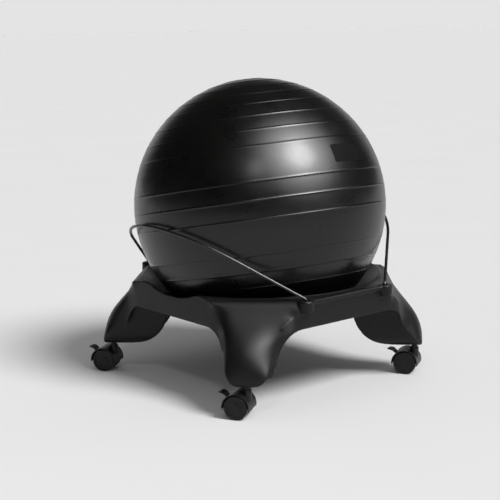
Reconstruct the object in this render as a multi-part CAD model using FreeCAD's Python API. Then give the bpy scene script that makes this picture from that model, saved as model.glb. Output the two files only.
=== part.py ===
import FreeCAD, Part
import math
import os
from FreeCAD import Vector

# Balance ball chair: an inflated ball that sits in a moulded four-legged base
# with two retaining hoops of coated wire and four braked twin-wheel casters.
# Millimetres. The origin is on the floor under the middle of the ball, Z is up
# and the front is -Y, the side of the base that carries two hoop bosses and a rail.

# Ball
ball_radius = 260.0
ball_wall = 1.6
ball_bottom_height = 97.0
ball_lean_deg = 10.9         # lean of the moulded rings' axis
ball_lean_heading_deg = 87.2

# Valve at the lower end of the rings' axis
valve_stem_radius = 4.5
valve_stem_length = 18.0
valve_flange_radius = 11.0
valve_flange_thickness = 2.4
valve_collar_radius = 17.0
valve_collar_depth = 14.0
valve_fit = 0.05             # radial clearance of the plug in its collar
valve_flange_gap = 0.3
valve_recess_radius = 4.0
valve_recess_depth = 1.2
valve_groove_depth = 0.6
valve_groove_width = 1.5
valve_groove_count = 3

# Base shell
shell_wall = 4.5
side_half_x = 231.0          # side panels of the left and right, at their top edge
side_half_y = 257.0          # side panels of the front and rear, at their top edge
panel_draft_deg = 3.0
deck_height = 212.5
skirt_bottom_height = 78.0
arch_height = 157.5          # lower edge of the side panels
arch_flat_half = 111.0       # half the straight stretch of that edge
arch_radius_x = 50.0         # corners of the left and right arches
arch_radius_y = 71.0         # corners of the front and rear arches
arch_lean_deg = 26.0         # how far the arches' sides lean out of upright

# Leg, along the diagonal: r is the distance from the middle
rim_edge_r = 250.0
shoulder_start = (257.0, 210.0)
shoulder_mid = (265.5, 201.0)
shoulder_end = (271.5, 186.0)
leg_reach = 335.5
leg_corner_height = 117.2    # where the flank's slope would meet the toe's upright face
leg_bend_radius = 89.6147    # rounds that corner
leg_bottom_height = 62.5
leg_toe_radius = 6.0
instep_setback = 63.5        # from the toe back to the middle of the instep's arc
instep_centre = (leg_reach - instep_setback, 145.5)
instep_radius = 80.0
instep_end_deg = 262.0       # from there the sole slopes down to the heel
leg_root_r = 150.0

# Leg, seen from its front: half widths
toe_half_width = 44.0
toe_corner_radius = 34.0
knee_half_width = 52.0
flare_radius_x = 45.0        # towards the left or right panel
flare_radius_y = 52.0        # towards the front or rear panel
flare_drop_y = 15.5          # the flare towards the front or rear panel ends this far below the deck

# Bowl that the ball sits in
seat_gap = 0.3
bowl_hole_radius = 92.0
seat_outer_radius = 168.0
bowl_wall = 5.0
bowl_step = (212.0, 179.5)
mouth_radius = 242.0
rim_bead_width = 8.0
rim_bead_height = 2.5
rim_bead_sink = 1.0          # how far the bead's foot lies below the deck
hub_ring_depth = 9.0
bowl_rib_count = 12
bowl_rib_thickness = 3.0
bowl_rib_depth = 8.0

# Bosses and rails that hold the hoops
boss_x = 104.5
boss_y = 259.7
boss_radius = 15.0
boss_bottom_height = 190.0
boss_top_height = 213.5
boss_edge_radius = 2.5
rail_reach = 9.0             # beyond the panel
rail_depth = 10.0
rail_edge_radius = 3.0

# Wire hoops
wire_radius = 3.0
wire_fit = 0.05
hoop_lean_deg = 37.4         # rise of the hoop's plane above level
hoop_bow_radius = 211.0
hoop_knee_radius = 7.0
hoop_pin_depth = 20.0
hoop_end_gap = 0.3
hoop_cup_radius = 5.5        # round recess in the boss that clears the knee
hoop_cup_depth = 3.0

# Caster stems and their sockets
stem_setback = 16.1          # from the toe back to each stem
stem_spread = leg_reach - stem_setback
stem_radius = 5.5
stem_length = 36.0
stem_tip_chamfer = 1.5
stem_flange_radius = 8.0
stem_flange_thickness = 1.8
spigot_radius = 3.5
spigot_length = 22.0
ring_groove_depth = 0.8
ring_height = 6.0
ring_below_tip = 10.0
ring_split = 2.0
ring_fit = 0.08
socket_radius = 7.5
socket_wall = 1.9
socket_flange_radius = 10.0
socket_flange_thickness = 1.5
socket_fit = 0.05
socket_top_gap = 2.0
stem_fit = 0.06
stem_boss_radius = 13.0
stem_rib_thickness = 3.0

# Twin-wheel caster, with its trail along -X before it is turned
caster_heading_deg = 122.4   # the way the wheels trail
wheel_radius = 23.5
wheel_shoulder = 1.5
wheel_inner_face = 5.5       # from the caster's middle plane
wheel_outer_face = 22.5
wheel_dish_radius = 18.5
wheel_dish_depth = 1.6
wheel_cap_radius = 8.0
wheel_rim_inner_radius = 17.9
wheel_recess_depth = 6.0
wheel_hub_radius = 7.0
wheel_skin = 3.0
trail = 17.0
axle_radius = 3.0
axle_fit = 0.05
axle_end_gap = 0.4
hood_inner_radius = 25.8
hood_thickness = 1.7
hood_half_width = 23.5
hood_front_deg = -9.0        # ends of the hood round the axle, 0 points ahead
hood_rear_deg = 184.0
web_half_thickness = 2.0
web_hub_radius = 6.5
web_side_gap = 0.3
tower_radius = 9.0
tower_top_height = 54.5
tower_bottom_height = 29.0
stem_flange_gap = 0.3

# Brake lever, places from the axle
lever_pivot = (-13.0, 12.5)
lever_pin_radius = 1.5
lever_fit = 0.05
lever_cheek_inner = 2.25
lever_cheek_outer = 4.9
lever_hub_radius = 3.6
lever_arm_half_width = 2.2
lever_slot_clearance = 0.5
pad_place = (-4.0, 13.5)
pad_radius = 1.6
pad_outer = 9.5
pedal_root = (-22.5, 20.0)
pedal_mid = (-31.5, 26.2)
pedal_tip = (-40.5, 24.6)
pedal_thickness = 2.4
pedal_half_width = 10.0
lever_travel_deg = 12.0


def solid_of(wire, direction):
    return Part.Face(wire).extrude(direction)


def wire_of(edges):
    return Part.Wire(Part.__sortEdges__([e.toShape() for e in edges]))


def line(p, q):
    return Part.LineSegment(p, q)


def arc(p, q, r):
    return Part.Arc(p, q, r)


def on_circle(centre, radius, degrees):
    a = math.radians(degrees)
    return centre[0] + radius * math.cos(a), centre[1] + radius * math.sin(a)


def rz(p):
    """A point of the XZ plane."""
    return Vector(p[0], 0, p[1])


def cylinder(radius, bottom, top, x=0.0, y=0.0):
    return Part.makeCylinder(radius, top - bottom, Vector(x, y, bottom))


def across(radius, from_y, to_y, x, z):
    """A cylinder along Y."""
    return Part.makeCylinder(radius, to_y - from_y, Vector(x, from_y, z), Vector(0, 1, 0))


def turned(shape, degrees, centre=Vector(0, 0, 0)):
    copy = shape.copy()
    copy.rotate(centre, Vector(0, 0, 1), degrees)
    return copy


def moved(shape, offset):
    copy = shape.copy()
    copy.translate(offset)
    return copy


def fuse_all(shapes):
    whole = shapes[0]
    if len(shapes) > 1:
        whole = shapes[0].multiFuse(shapes[1:])
    return whole


def largest_solid(shape):
    return max(shape.Solids, key=lambda s: s.Volume)


def export(name, shape):
    shape.exportStep("parts/%s.step" % name)
    print("%-28s solids %d  volume %.0f  valid %s" % (name, len(shape.Solids), shape.Volume, shape.isValid()))


# The ball and its valve plug
ball_centre_height = ball_bottom_height + ball_radius
ball_centre = Vector(0, 0, ball_centre_height)
lean = math.radians(ball_lean_deg)
lean_heading = math.radians(ball_lean_heading_deg)
ring_axis = Vector(
    math.sin(lean) * math.cos(lean_heading),
    math.sin(lean) * math.sin(lean_heading),
    math.cos(lean),
)
valve_direction = ring_axis * -1


def on_valve(distance):
    """The point of the valve's axis at a distance from the ball's centre."""
    return ball_centre + valve_direction * distance


def valve_cylinder(radius, start, end):
    return Part.makeCylinder(radius, end - start, on_valve(start), valve_direction)


def make_ball():
    inner_radius = ball_radius - ball_wall
    skin = Part.makeSphere(ball_radius, ball_centre).cut(Part.makeSphere(inner_radius, ball_centre))
    collar = valve_cylinder(valve_collar_radius, ball_radius - valve_collar_depth, ball_radius - 0.5 * ball_wall)
    collar = collar.common(Part.makeSphere(ball_radius - 0.25 * ball_wall, ball_centre))
    bore = valve_cylinder(valve_stem_radius + valve_fit, ball_radius - 2 * valve_collar_depth, ball_radius + 1)
    seat = valve_cylinder(
        valve_flange_radius + valve_flange_gap,
        ball_radius - valve_flange_thickness - valve_flange_gap,
        ball_radius + 1,
    )
    return skin.fuse(collar).cut(bore).cut(seat)


def make_valve_plug():
    flange_start = ball_radius - valve_flange_thickness
    flange = valve_cylinder(valve_flange_radius, flange_start, ball_radius - valve_flange_gap)
    stem = valve_cylinder(valve_stem_radius, flange_start - valve_stem_length, flange_start)
    cuts = [valve_cylinder(valve_recess_radius, ball_radius - valve_flange_gap - valve_recess_depth, ball_radius + 1)]
    pitch = valve_stem_length / (valve_groove_count + 1)
    for k in range(valve_groove_count):
        start = flange_start - (k + 1) * pitch
        groove = valve_cylinder(valve_stem_radius + 1, start, start + valve_groove_width)
        core = valve_cylinder(valve_stem_radius - valve_groove_depth, start - 1, start + valve_groove_width + 1)
        cuts.append(groove.cut(core))
    return flange.fuse(stem).cut(cuts)


# The base shell
draft = math.tan(math.radians(panel_draft_deg))


def frustum(half_x, half_y, bottom, top):
    """A block with drafted sides, half_x and half_y at the deck's height."""
    def ring(height):
        grow = (deck_height - height) * draft
        x = half_x + grow
        y = half_y + grow
        corners = [(-x, -y), (x, -y), (x, y), (-x, y), (-x, -y)]
        return Part.makePolygon([Vector(a, b, height) for a, b in corners])
    return Part.makeLoft([ring(bottom), ring(top)], True, True)


def leg_outline(inset, inner_r):
    """The leg's outer line from the deck down to the toe, in the plane of the diagonal."""
    steep = flank_angle
    shoulder_slope = math.atan2(deck_height - shoulder_start[1], shoulder_start[0] - rim_edge_r)
    normal = (math.sin(steep), math.cos(steep))
    normal_top = (math.sin(shoulder_slope), math.cos(shoulder_slope))
    normal_mid = (math.sin(0.5 * (steep + shoulder_slope)), math.cos(0.5 * (steep + shoulder_slope)))
    top = deck_height - inset
    start = rz((shoulder_start[0] - inset * normal_top[0], shoulder_start[1] - inset * normal_top[1]))
    mid = rz((shoulder_mid[0] - inset * normal_mid[0], shoulder_mid[1] - inset * normal_mid[1]))
    end = rz((shoulder_end[0] - inset * normal[0], shoulder_end[1] - inset * normal[1]))
    hip = rz((flank_end[0] - inset * normal[0], flank_end[1] - inset * normal[1]))
    rim = rz((rim_edge_r - inset * math.tan(shoulder_slope / 2), top))
    bend_radius = leg_bend_radius - inset
    half = 0.5 * (math.pi / 2 - steep)
    bend_centre = (leg_reach - leg_bend_radius, leg_toe_height)
    hip_mid = rz((bend_centre[0] + bend_radius * math.cos(half), bend_centre[1] + bend_radius * math.sin(half)))
    toe_top = rz((leg_reach - inset, leg_toe_height))
    return [
        line(rz((inner_r, top)), rim),
        line(rim, start),
        arc(start, mid, end),
        line(end, hip),
        arc(hip, hip_mid, toe_top),
    ], toe_top


# The bend from the sloping flank to the upright toe meets both
flank_angle = math.atan2(shoulder_end[1] - leg_corner_height, leg_reach - shoulder_end[0])
bend_run = leg_bend_radius * math.tan(0.5 * (math.pi / 2 - flank_angle))
flank_end = (leg_reach - bend_run * math.cos(flank_angle), leg_corner_height + bend_run * math.sin(flank_angle))
leg_toe_height = leg_corner_height - bend_run


def slab_between(edges, half_width):
    wire = wire_of(edges)
    return moved(solid_of(wire, Vector(0, 2 * half_width, 0)), Vector(0, -half_width, 0))


def diagonal_limit(inset):
    """Everything that lies inside the leg's outer line, as wide as the base."""
    far = -2 * leg_reach
    floor = leg_bottom_height - 2 * shell_wall
    edges, toe_top = leg_outline(inset, far)
    toe_bottom = rz((leg_reach - inset, floor))
    edges += [line(toe_top, toe_bottom), line(toe_bottom, rz((far, floor)))]
    edges.append(line(rz((far, floor)), rz((far, deck_height - inset))))
    return slab_between(edges, 2 * leg_reach)


def leg_side():
    """The leg seen from its side."""
    edges, toe_top = leg_outline(0, leg_root_r)
    r = leg_toe_radius
    sole = leg_bottom_height
    toe_side = rz((leg_reach, sole + r))
    toe_mid = rz(on_circle((leg_reach - r, sole + r), r, -45))
    toe_under = rz((leg_reach - r, sole))
    slope_start = rz(on_circle(instep_centre, instep_radius, instep_end_deg))
    fall = (slope_start.z - sole) * math.tan(math.radians(instep_end_deg - 180))
    heel = rz((slope_start.x + fall, sole))
    instep_mid = rz(on_circle(instep_centre, instep_radius, 0.5 * (180 + instep_end_deg)))
    instep_end = rz((instep_centre[0] - instep_radius, instep_centre[1]))
    root = rz((leg_root_r, instep_centre[1]))
    edges += [
        line(toe_top, toe_side),
        arc(toe_side, toe_mid, toe_under),
        line(toe_under, heel),
        line(heel, slope_start),
        arc(slope_start, instep_mid, instep_end),
        line(instep_end, root),
        line(root, rz((leg_root_r, deck_height))),
    ]
    return slab_between(edges, 4 * knee_half_width)


def leg_side_cavity():
    """The hollow of the leg seen from its side, open on the instep."""
    inset = shell_wall
    edges, toe_top = leg_outline(inset, leg_root_r - 10)
    sole = leg_bottom_height + inset
    toe_under = rz((leg_reach - inset, sole))
    heel = rz((instep_centre[0] - 4 * inset, sole))
    heel_low = rz((heel.x, leg_bottom_height - 4 * inset))
    root_low = rz((leg_root_r - 10, heel_low.z))
    edges += [
        line(toe_top, toe_under),
        line(toe_under, heel),
        line(heel, heel_low),
        line(heel_low, root_low),
        line(root_low, rz((leg_root_r - 10, deck_height - inset))),
    ]
    return slab_between(edges, 4 * knee_half_width)


def leg_front(inset):
    """The leg seen from its front: a rounded toe that flares out to both panels."""
    x = leg_root_r - 20
    toe = toe_corner_radius - inset
    centre_y = toe_half_width - toe_corner_radius
    centre_z = leg_bottom_height + toe_corner_radius
    knee = knee_half_width - inset
    sole = centre_z - toe
    edges = [line(Vector(x, -centre_y, sole), Vector(x, centre_y, sole))]
    tops = []
    for sign, flare, drop in ((-1, flare_radius_x, 0), (1, flare_radius_y, flare_drop_y)):
        def at(y, z):
            return Vector(x, sign * y, z)
        corner_mid = on_circle((centre_y, centre_z), toe, -45)
        flare_centre = (knee_half_width + flare, deck_height - drop - flare)
        radius = flare + inset
        flare_mid = on_circle(flare_centre, radius, 135)
        flare_end = at(flare_centre[0], flare_centre[1] + radius)
        edges.append(arc(at(centre_y, sole), at(*corner_mid), at(centre_y + toe, centre_z)))
        edges.append(line(at(centre_y + toe, centre_z), at(knee, flare_centre[1])))
        edges.append(arc(at(knee, flare_centre[1]), at(*flare_mid), flare_end))
        top = Vector(x, flare_end.y, deck_height + 2 * shell_wall)
        edges.append(line(flare_end, top))
        tops.append(top)
    edges.append(line(*tops))
    return solid_of(wire_of(edges), Vector(leg_reach, 0, 0))


def on_diagonals(shape):
    """Four copies on the diagonals, every second one mirrored to suit the panels beside it."""
    mirrored = shape.mirror(Vector(0, 0, 0), Vector(0, 1, 0))
    return [turned(mirrored if k % 2 else shape, 45 + 90 * k) for k in range(4)]


def arch_cutter(radius, face):
    """What opens one side panel, along +X before it is turned."""
    x = face - 4 * shell_wall
    floor = leg_bottom_height - 2 * shell_wall
    centre = (arch_flat_half, arch_height - radius)
    low = on_circle(centre, radius, arch_lean_deg)
    mid = on_circle(centre, radius, 0.5 * (90 + arch_lean_deg))
    foot = low[0] + (low[1] - floor) * math.tan(math.radians(arch_lean_deg))
    edges = [line(Vector(x, -foot, floor), Vector(x, foot, floor))]
    edges.append(line(Vector(x, -arch_flat_half, arch_height), Vector(x, arch_flat_half, arch_height)))
    for sign in (1, -1):
        side = Vector(x, sign * low[0], low[1])
        edges.append(line(Vector(x, sign * foot, floor), side))
        edges.append(arc(side, Vector(x, sign * mid[0], mid[1]), Vector(x, sign * arch_flat_half, arch_height)))
    return solid_of(wire_of(edges), Vector(8 * shell_wall, 0, 0))


def bowl_height(r, radius):
    """Height of a sphere round the ball's centre, at the distance r from the middle."""
    return ball_centre_height - math.sqrt(radius ** 2 - r ** 2)


def sphere_arc(r_start, r_end, radius):
    mid = 0.5 * (r_start + r_end)
    points = [rz((r, bowl_height(r, radius))) for r in (r_start, mid, r_end)]
    return arc(*points)


def revolve(edges):
    return Part.Face(wire_of(edges)).revolve(Vector(0, 0, 0), Vector(0, 0, 1), 360)


seat_radius = ball_radius + seat_gap
bowl_outer_radius = seat_radius + bowl_wall
mouth_inner = (mouth_radius, deck_height - rim_bead_sink)


def make_bowl():
    hole = bowl_hole_radius
    seat_end = rz((seat_outer_radius, bowl_height(seat_outer_radius, seat_radius)))
    under_r = seat_outer_radius + 0.6 * bowl_wall
    under_end = rz((under_r, bowl_height(under_r, bowl_outer_radius)))
    step = rz(bowl_step)
    step_under = rz((bowl_step[0] + 0.6 * bowl_wall, bowl_step[1] - 0.8 * bowl_wall))
    mouth = rz(mouth_inner)
    crest = rz((mouth_radius + 0.5 * rim_bead_width, deck_height + rim_bead_height))
    bead_out = rz((mouth_radius + rim_bead_width, mouth_inner[1]))
    bead_under = rz((mouth_radius + rim_bead_width, mouth_inner[1] - bowl_wall))
    return revolve([
        sphere_arc(hole, seat_outer_radius, seat_radius),
        line(seat_end, step),
        line(step, mouth),
        arc(mouth, crest, bead_out),
        line(bead_out, bead_under),
        line(bead_under, step_under),
        line(step_under, under_end),
        sphere_arc(hole, under_r, bowl_outer_radius),
        line(rz((hole, bowl_height(hole, seat_radius))), rz((hole, bowl_height(hole, bowl_outer_radius)))),
    ])


def make_mouth_void():
    """All that lies above the bowl's upper side."""
    hole = bowl_hole_radius
    top = deck_height + 10 * rim_bead_height
    seat_end = rz((seat_outer_radius, bowl_height(seat_outer_radius, seat_radius)))
    floor = bowl_height(hole, bowl_outer_radius) - 4 * bowl_wall
    under_bead = rz((mouth_radius + 0.5 * rim_bead_width, mouth_inner[1]))
    mouth_top = rz((under_bead.x, top))
    return revolve([
        line(rz((0, floor)), rz((hole, floor))),
        line(rz((hole, floor)), rz((hole, bowl_height(hole, seat_radius)))),
        sphere_arc(hole, seat_outer_radius, seat_radius),
        line(seat_end, rz(bowl_step)),
        line(rz(bowl_step), rz(mouth_inner)),
        line(rz(mouth_inner), under_bead),
        line(under_bead, mouth_top),
        line(mouth_top, rz((0, top))),
        line(rz((0, top)), rz((0, floor))),
    ])


def make_bowl_ribs():
    """A ring round the bowl's hole and spokes under the bowl."""
    hole = bowl_hole_radius
    outer = bowl_outer_radius + hub_ring_depth
    ring_r = hole + bowl_wall
    overlap = bowl_outer_radius - 0.5 * bowl_wall
    ring = revolve([
        line(rz((hole, bowl_height(hole, overlap))), rz((hole, bowl_height(hole, outer)))),
        line(rz((hole, bowl_height(hole, outer))), rz((ring_r, bowl_height(ring_r, outer)))),
        line(rz((ring_r, bowl_height(ring_r, outer))), rz((ring_r, bowl_height(ring_r, overlap)))),
        line(rz((ring_r, bowl_height(ring_r, overlap))), rz((hole, bowl_height(hole, overlap)))),
    ])
    start = hole + 0.5 * bowl_wall
    end = seat_outer_radius
    outer = bowl_outer_radius + bowl_rib_depth
    face = wire_of([
        sphere_arc(start, end, overlap),
        sphere_arc(start, end, outer),
        line(rz((start, bowl_height(start, overlap))), rz((start, bowl_height(start, outer)))),
        line(rz((end, bowl_height(end, overlap))), rz((end, bowl_height(end, outer)))),
    ])
    spoke = moved(solid_of(face, Vector(0, bowl_rib_thickness, 0)), Vector(0, -0.5 * bowl_rib_thickness, 0))
    step = 360.0 / bowl_rib_count
    return [ring] + [turned(spoke, (k + 0.5) * step) for k in range(bowl_rib_count)]


def make_boss(x, y):
    boss = cylinder(boss_radius, boss_bottom_height, boss_top_height, x, y)
    rims = [e for e in boss.Edges if abs(e.CenterOfMass.z - boss_top_height) < 0.01 and len(e.Vertexes) == 1]
    return boss.makeFillet(boss_edge_radius, rims)


def make_rail(side):
    """The lip that joins the two bosses of one side; side is -1 at the front."""
    top = deck_height
    inner = side_half_y - shell_wall
    outer = side_half_y + rail_reach
    bar = Part.makeBox(2 * boss_x, outer - inner, rail_depth, Vector(-boss_x, inner, top - rail_depth))
    long_edges = [
        e for e in bar.Edges
        if abs(e.CenterOfMass.y - outer) < 0.01 and abs(e.CenterOfMass.x) < 0.01
    ]
    bar = bar.makeFillet(rail_edge_radius, long_edges)
    return turned(bar, 180) if side < 0 else bar


def make_stem_boss():
    """The tube in the leg that the caster's socket is pressed into, with its two ribs."""
    tube = cylinder(stem_boss_radius, leg_bottom_height, deck_height, stem_spread)
    length = leg_reach - instep_centre[0]
    rib = Part.makeBox(length, stem_rib_thickness, deck_height - leg_bottom_height,
                       Vector(instep_centre[0], -0.5 * stem_rib_thickness, leg_bottom_height))
    cross = Part.makeBox(stem_rib_thickness, 2 * knee_half_width, deck_height - leg_bottom_height,
                         Vector(stem_spread - 0.5 * stem_rib_thickness, -knee_half_width, leg_bottom_height))
    return tube.fuse([rib, cross])


def make_base_shell():
    leg = leg_side().common(leg_front(0))
    cavity = leg_side_cavity().common(leg_front(shell_wall))
    block = frustum(side_half_x, side_half_y, skirt_bottom_height, deck_height)
    hollow = frustum(side_half_x - shell_wall, side_half_y - shell_wall,
                     skirt_bottom_height - shell_wall, deck_height - shell_wall)
    for limit in on_diagonals(diagonal_limit(0)):
        block = block.common(limit)
    for limit in on_diagonals(diagonal_limit(shell_wall)):
        hollow = hollow.common(limit)
    arches = []
    for k in range(4):
        radius, face = ((arch_radius_x, side_half_x), (arch_radius_y, side_half_y))[k % 2]
        arches.append(turned(arch_cutter(radius, face), 90 * k))
    legs = on_diagonals(leg)
    cavities = on_diagonals(cavity)
    skin = block.cut(hollow).cut(arches).fuse([each.cut(hole) for each, hole in zip(legs, cavities)])
    skin = skin.cut(cavities + [make_mouth_void()])
    low = leg_bottom_height
    high = deck_height + 10 * rim_bead_height
    room = cylinder(mouth_radius + rim_bead_width, low, high).common(frustum(side_half_x, side_half_y, low, high))
    pieces = [make_bowl().common(block.fuse(room))]
    pieces += make_bowl_ribs()
    pieces += on_diagonals(make_stem_boss().common(leg))
    for side in (-1, 1):
        pieces.append(make_rail(side))
        pieces += [make_boss(sign * boss_x, side * boss_y) for sign in (-1, 1)]
    shell = skin.fuse(pieces)
    bores = []
    for k in range(4):
        bore = cylinder(socket_radius + socket_fit, leg_bottom_height - 20, socket_top_height, stem_spread)
        bores.append(turned(bore, 45 + 90 * k))
    for x in (-boss_x, boss_x):
        for y in (-boss_y, boss_y):
            bores.append(cylinder(wire_radius + wire_fit, hoop_bore_bottom, boss_top_height + 5, x, y))
            bores.append(cylinder(hoop_cup_radius, boss_top_height - hoop_cup_depth, boss_top_height + 5, x, y))
    shell = shell.cut(bores)
    return largest_solid(shell.removeSplitter())


# The hoops
def hoop_path():
    """The left hoop's centre line: two pins, two knees, two straights and a bow."""
    lean_angle = math.radians(hoop_lean_deg)
    up = Vector(-math.cos(lean_angle), 0, math.sin(lean_angle))
    tangent = math.acos(hoop_bow_radius / boss_y)
    straight = up * math.sin(tangent) * hoop_bow_radius
    straight = straight - Vector(0, boss_y - math.cos(tangent) * hoop_bow_radius, 0)
    turn = straight.getAngle(Vector(0, 0, 1))
    setback = hoop_knee_radius * math.tan(turn / 2)
    middle = Vector(-boss_x, 0, boss_top_height - hoop_cup_depth + hoop_end_gap + setback)
    apex = middle + up * hoop_bow_radius
    edges = []
    touches = []
    for side in (-1, 1):
        out = Vector(0, side, 0)
        knee = middle + out * boss_y
        touch = middle + (up * math.sin(tangent) + out * math.cos(tangent)) * hoop_bow_radius
        along = (touch - knee).normalize()
        low = knee - Vector(0, 0, setback)
        high = knee + along * setback
        bisector = (along - Vector(0, 0, 1)).normalize()
        centre = knee + bisector * (hoop_knee_radius / math.cos(turn / 2))
        mid = centre - bisector * hoop_knee_radius
        foot = Vector(knee.x, knee.y, boss_top_height - hoop_pin_depth)
        edges += [line(foot, low), arc(low, mid, high), line(high, touch)]
        touches.append(touch)
    edges.append(arc(touches[0], apex, touches[1]))
    return wire_of(edges)


def make_hoop(left):
    path = hoop_path()
    start = Vector(-boss_x, -boss_y, boss_top_height - hoop_pin_depth)
    section = Part.Wire(Part.makeCircle(wire_radius, start, Vector(0, 0, 1)))
    hoop = path.makePipeShell([section], True, False)
    hoop = Part.Solid(hoop) if not hoop.Solids else hoop.Solids[0]
    if not left:
        hoop = hoop.mirror(Vector(0, 0, 0), Vector(1, 0, 0))
    return hoop


hoop_bore_bottom = boss_top_height - hoop_pin_depth - hoop_end_gap

# Stems, grip rings and sockets, round the Z axis before they are moved
stem_flange_bottom = tower_top_height + stem_flange_gap
stem_flange_top = stem_flange_bottom + stem_flange_thickness
stem_top_height = stem_flange_top + stem_length
socket_top_height = stem_top_height + socket_top_gap
ring_top_height = stem_top_height - ring_below_tip
ring_bottom_height = ring_top_height - ring_height


def make_stem():
    body = cylinder(stem_radius, stem_flange_top, stem_top_height)
    tip = [e for e in body.Edges if len(e.Vertexes) == 1 and abs(e.CenterOfMass.z - stem_top_height) < 0.01]
    body = body.makeChamfer(stem_tip_chamfer, tip)
    flange = cylinder(stem_flange_radius, stem_flange_bottom, stem_flange_top)
    spigot = cylinder(spigot_radius, stem_flange_bottom - spigot_length, stem_flange_bottom)
    groove = cylinder(stem_radius + 1, ring_bottom_height - ring_fit, ring_top_height + ring_fit)
    groove = groove.cut(cylinder(stem_radius - ring_groove_depth, ring_bottom_height - 1, ring_top_height + 1))
    return body.fuse([flange, spigot]).cut(groove)


def make_grip_ring():
    inner = stem_radius - ring_groove_depth + ring_fit
    ring = cylinder(stem_radius, ring_bottom_height, ring_top_height)
    ring = ring.cut(cylinder(inner, ring_bottom_height - 1, ring_top_height + 1))
    slot = Part.makeBox(2 * stem_radius, ring_split, 2 * ring_height,
                        Vector(0, -0.5 * ring_split, ring_bottom_height - 0.5 * ring_height))
    return ring.cut(slot)


def make_socket():
    flange_bottom = leg_bottom_height - socket_flange_thickness
    tube = cylinder(socket_radius, flange_bottom, socket_top_height)
    flange = cylinder(socket_flange_radius, flange_bottom, leg_bottom_height)
    bore = cylinder(stem_radius + stem_fit, flange_bottom - 1, socket_top_height - socket_wall)
    return tube.fuse(flange).cut(bore)


# Caster pieces, with the stem's axis at the origin
axle_x = -trail
axle_z = wheel_radius


def from_axle(place, y=0.0):
    return Vector(axle_x + place[0], y, axle_z + place[1])


def make_wheel(side):
    """One wheel; side is -1 or 1 along Y."""
    inner = wheel_inner_face
    outer = wheel_outer_face
    radius = wheel_radius
    wheel = across(radius, inner, outer, axle_x, axle_z)
    rims = [e for e in wheel.Edges if len(e.Vertexes) == 1]
    wheel = wheel.makeFillet(wheel_shoulder, rims)
    dish = across(wheel_dish_radius, outer - wheel_dish_depth, outer + 1, axle_x, axle_z)
    cap = across(wheel_cap_radius, outer - 2 * wheel_dish_depth, outer - 0.4, axle_x, axle_z)
    recess = across(wheel_rim_inner_radius, inner - 1, inner + wheel_recess_depth, axle_x, axle_z)
    recess = recess.cut(across(wheel_hub_radius, inner - 2, inner + wheel_recess_depth + 1, axle_x, axle_z))
    bore = across(axle_radius + axle_fit, inner - 1, outer - wheel_skin, axle_x, axle_z)
    wheel = wheel.cut(dish).fuse(cap).cut([recess, bore])
    if side < 0:
        wheel = wheel.mirror(Vector(0, 0, 0), Vector(0, 1, 0))
    return wheel


def make_axle():
    end = wheel_outer_face - wheel_skin - axle_end_gap
    return across(axle_radius, -end, end, axle_x, axle_z)


def hood_sector(radius, half_width):
    """The part of a cylinder round the axle between the hood's two ends."""
    centre = (axle_x, axle_z)
    start = rz(on_circle(centre, radius, hood_front_deg))
    end = rz(on_circle(centre, radius, hood_rear_deg))
    mid = rz(on_circle(centre, radius, 0.5 * (hood_front_deg + hood_rear_deg)))
    edges = [arc(start, mid, end), line(end, rz(centre)), line(rz(centre), start)]
    return slab_between(edges, half_width)


def lever_outline(grow):
    """The lever's arm seen from the side, from its pivot to the pedal's root."""
    pivot = from_axle(lever_pivot)
    root = from_axle(pedal_root)
    along = (root - pivot).normalize()
    beside = Vector(-along.z, 0, along.x)
    half = lever_arm_half_width + grow
    reach = root + along * grow
    corners = [pivot + beside * half, reach + beside * half, reach - beside * half, pivot - beside * half]
    return Part.makePolygon(corners + [corners[0]])


def make_housing():
    outer_radius = hood_inner_radius + hood_thickness
    gap_half = wheel_inner_face - web_side_gap
    hood = hood_sector(outer_radius, hood_half_width)
    hood = hood.cut(across(hood_inner_radius, -hood_half_width - 1, hood_half_width + 1, axle_x, axle_z))
    web = hood_sector(hood_inner_radius + 0.5 * hood_thickness, web_half_thickness)
    hub = across(web_hub_radius, -gap_half, gap_half, axle_x, axle_z)
    tower = cylinder(tower_radius, tower_bottom_height, tower_top_height)
    tower = tower.cut(across(hood_inner_radius, -30, 30, axle_x, axle_z))
    waist = Part.makeBox(2 * tower_radius, 2 * gap_half, tower_top_height - tower_bottom_height,
                         Vector(-tower_radius, -gap_half, tower_bottom_height))
    waist = waist.common(across(hood_inner_radius + 0.5 * hood_thickness, -30, 30, axle_x, axle_z))
    body = hood.fuse([web, hub, tower, waist])
    axle_bore = across(axle_radius + axle_fit, -30, 30, axle_x, axle_z)
    stem_bore = cylinder(spigot_radius + stem_fit, stem_flange_bottom - spigot_length - 0.5, tower_top_height + 1)
    pin_bore = across(lever_pin_radius + lever_fit, -30, 30, axle_x + lever_pivot[0], axle_z + lever_pivot[1])
    return largest_solid(body.cut([axle_bore, stem_bore, pin_bore, lever_slot()]).removeSplitter())


def lever_slot():
    """The slot in the hood that lets the lever's arm swing."""
    slot = solid_of(lever_outline(3.0), Vector(0, 2 * (lever_cheek_outer + lever_slot_clearance), 0))
    slot = moved(slot, Vector(0, -(lever_cheek_outer + lever_slot_clearance), 0))
    pivot = from_axle(lever_pivot)
    swept = slot.copy()
    swept.rotate(pivot, Vector(0, -1, 0), lever_travel_deg)
    keep = across(hood_inner_radius - 0.01, -30, 30, axle_x, axle_z)
    return slot.fuse(swept).cut(keep)


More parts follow.
